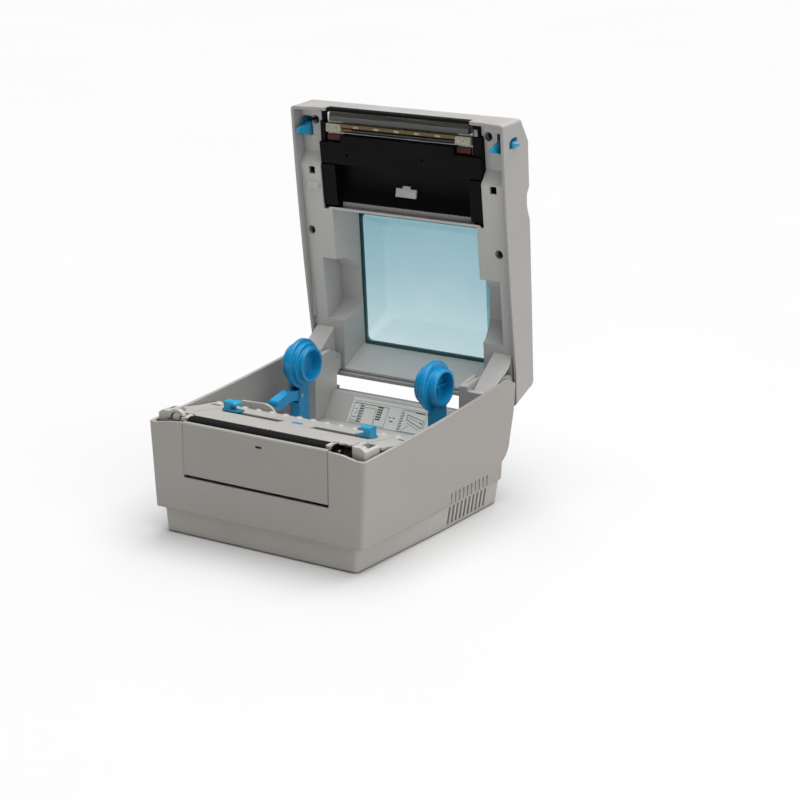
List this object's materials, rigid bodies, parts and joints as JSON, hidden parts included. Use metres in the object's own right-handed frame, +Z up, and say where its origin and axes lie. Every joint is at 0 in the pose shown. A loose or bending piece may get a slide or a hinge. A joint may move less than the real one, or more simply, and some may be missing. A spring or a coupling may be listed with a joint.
{
  "type": "thermal label printer",
  "caption": "Desktop label printer with its lid open: grey base with media bay, roll holders on sliding arms, paper guides, platen roller, and a hinged lid with tinted window and print head.",
  "frame": {"origin": "middle of the standing object at table height, lid open", "axes": "+X to the right seen from the front, +Y to the rear, +Z up"},
  "size_m": [0.2074, 0.2719, 0.3093],
  "materials": {
    "housing_grey": "fine moulded texture",
    "lid_grey": "fine moulded texture",
    "blue_plastic": "satin moulded",
    "window_tint": "clear cyan tint",
    "black_plastic": "satin moulded",
    "sensor_blue": "gloss",
    "steel": "plated",
    "head_aluminium": "milled",
    "head_ceramic": "polished",
    "driver_gold": "gloss",
    "acetal_white": "satin",
    "platen_rubber": "ground",
    "foot_rubber": "matte",
    "motor_dark": "satin",
    "brass": "cut",
    "board_green": "satin",
    "label_paper": "matte",
    "pad_red": "matte",
    "status_lens": "gloss",
    "button_grey": "satin"
  },
  "bodies": {
    "base": {"base_tray": "housing_grey", "base_shell": "housing_grey", "front_panel": "housing_grey", "peel_sensor_lens": "black_plastic", "left_side_plate": "steel", "right_side_plate": "steel", "platen_bushes": "acetal_white", "idler_axle": "steel", "stepper_motor": "motor_dark", "motor_screws": "steel", "gap_sensor_lens": "sensor_blue", "paper_deck": "housing_grey", "latch_keepers": "housing_grey", "media_well": "housing_grey", "loading_label": "label_paper", "hinge_pins": "steel", "rubber_feet": "foot_rubber", "base_screws": "steel", "main_board": "board_green", "board_screws": "steel", "usb_socket": "steel", "power_inlet": "black_plastic", "switch_bezel": "black_plastic"},
    "lid": {"lid_shell": "lid_grey", "lid_frame": "lid_grey", "lid_screws": "steel", "lid_window": "window_tint", "printhead_bracket": "black_plastic", "sensor_cover": "steel", "head_springs": "steel", "latch_springs": "steel", "status_lens": "status_lens"},
    "printhead": {"printhead_heatsink": "head_aluminium", "printhead_ceramic": "head_ceramic", "driver_strip": "driver_gold", "head_clips": "acetal_white", "head_pads": "pad_red", "head_guide_pins": "steel"},
    "left_latch_body": {"left_latch": "blue_plastic"},
    "right_latch_body": {"right_latch": "blue_plastic"},
    "feed_button_body": {"feed_button": "button_grey"},
    "platen": {"platen_shaft": "steel", "platen_roller": "platen_rubber", "platen_gear": "black_plastic"},
    "idler": {"idler_gear": "acetal_white"},
    "motor_rotor": {"motor_shaft": "steel", "motor_pinion": "brass"},
    "left_holder": {"left_roll_holder": "blue_plastic", "left_holder_rack": "acetal_white", "lever_pin": "steel"},
    "lock_lever": {"holder_lock_lever": "blue_plastic"},
    "right_holder": {"right_roll_holder": "blue_plastic", "right_holder_rack": "acetal_white"},
    "holder_pinion_body": {"holder_pinion": "acetal_white"},
    "left_guide": {"left_paper_guide": "blue_plastic", "left_guide_rack": "acetal_white"},
    "right_guide": {"right_paper_guide": "blue_plastic", "right_guide_rack": "acetal_white"},
    "guide_pinion_body": {"guide_pinion": "acetal_white"},
    "rocker": {"power_rocker": "black_plastic"}
  },
  "joints": [
    {"name": "lid_hinge", "type": "hinge", "parent": "base", "child": "lid", "pos_m": [0, 0.0764, 0.096], "axis": [1, 0, 0], "range_deg": [0, 86.3]},
    {"name": "printhead_float", "type": "slide", "parent": "lid", "child": "printhead", "axis": [0, 0.9979, 0.0645], "range_m": [0, 0.0015], "stiffness_N_per_m": 8000, "springref_m": -0.004},
    {"name": "left_latch_slide", "type": "slide", "parent": "lid", "child": "left_latch_body", "axis": [0, -0.0645, 0.9979], "range_m": [0, 0.0025], "stiffness_N_per_m": 600, "springref_m": -0.003},
    {"name": "right_latch_slide", "type": "slide", "parent": "lid", "child": "right_latch_body", "axis": [0, -0.0645, 0.9979], "range_m": [0, 0.0025], "stiffness_N_per_m": 600, "springref_m": -0.003},
    {"name": "feed_button_press", "type": "slide", "parent": "lid", "child": "feed_button_body", "axis": [0, -0.9979, -0.0645], "range_m": [0, 0.0012], "stiffness_N_per_m": 900, "springref_m": -0.001},
    {"name": "platen_spin", "type": "hinge", "parent": "base", "child": "platen", "pos_m": [0, -0.126, 0.0892], "axis": [1, 0, 0], "continuous": true},
    {"name": "idler_spin", "type": "hinge", "parent": "base", "child": "idler", "pos_m": [0, -0.11393, 0.07196], "axis": [1, 0, 0], "continuous": true},
    {"name": "motor_spin", "type": "hinge", "parent": "base", "child": "motor_rotor", "pos_m": [0, -0.1043, 0.05529], "axis": [1, 0, 0], "continuous": true},
    {"name": "left_holder_slide", "type": "slide", "parent": "base", "child": "left_holder", "axis": [1, 0, 0], "range_m": [0, 0.045]},
    {"name": "right_holder_slide", "type": "slide", "parent": "base", "child": "right_holder", "axis": [1, 0, 0], "range_m": [-0.045, 0]},
    {"name": "holder_pinion_spin", "type": "hinge", "parent": "base", "child": "holder_pinion_body", "pos_m": [0, 0.0174, 0.039], "axis": [0, 0, 1], "range_deg": [0, 430.22]},
    {"name": "lock_lever_press", "type": "hinge", "parent": "left_holder", "child": "lock_lever", "pos_m": [-0.066, 0.0146, 0.0785], "axis": [1, 0, 0], "range_deg": [0, 10], "stiffness_Nm_per_rad": 0.4, "springref_deg": -11.46},
    {"name": "left_guide_slide", "type": "slide", "parent": "base", "child": "left_guide", "axis": [1, 0, 0], "range_m": [0, 0.043]},
    {"name": "right_guide_slide", "type": "slide", "parent": "base", "child": "right_guide", "axis": [1, 0, 0], "range_m": [-0.043, 0]},
    {"name": "guide_pinion_spin", "type": "hinge", "parent": "base", "child": "guide_pinion_body", "pos_m": [0, -0.0776, 0.079], "axis": [0, 0, 1], "range_deg": [0, 513.77]},
    {"name": "power_rocker_tilt", "type": "hinge", "parent": "base", "child": "rocker", "pos_m": [0.031, 0.0616, 0.038], "axis": [0, 0, 1], "range_deg": [0, 12]}
  ],
  "couplings": [
    {"joint": "idler_spin", "follows": "platen_spin", "ratio": -0.4},
    {"joint": "motor_spin", "follows": "platen_spin", "ratio": 1.4286},
    {"joint": "right_holder_slide", "follows": "left_holder_slide", "ratio": -1},
    {"joint": "holder_pinion_spin", "follows": "left_holder_slide", "rad_per_m": 166.67},
    {"joint": "right_guide_slide", "follows": "left_guide_slide", "ratio": -1},
    {"joint": "guide_pinion_spin", "follows": "left_guide_slide", "rad_per_m": 208.33}
  ]
}
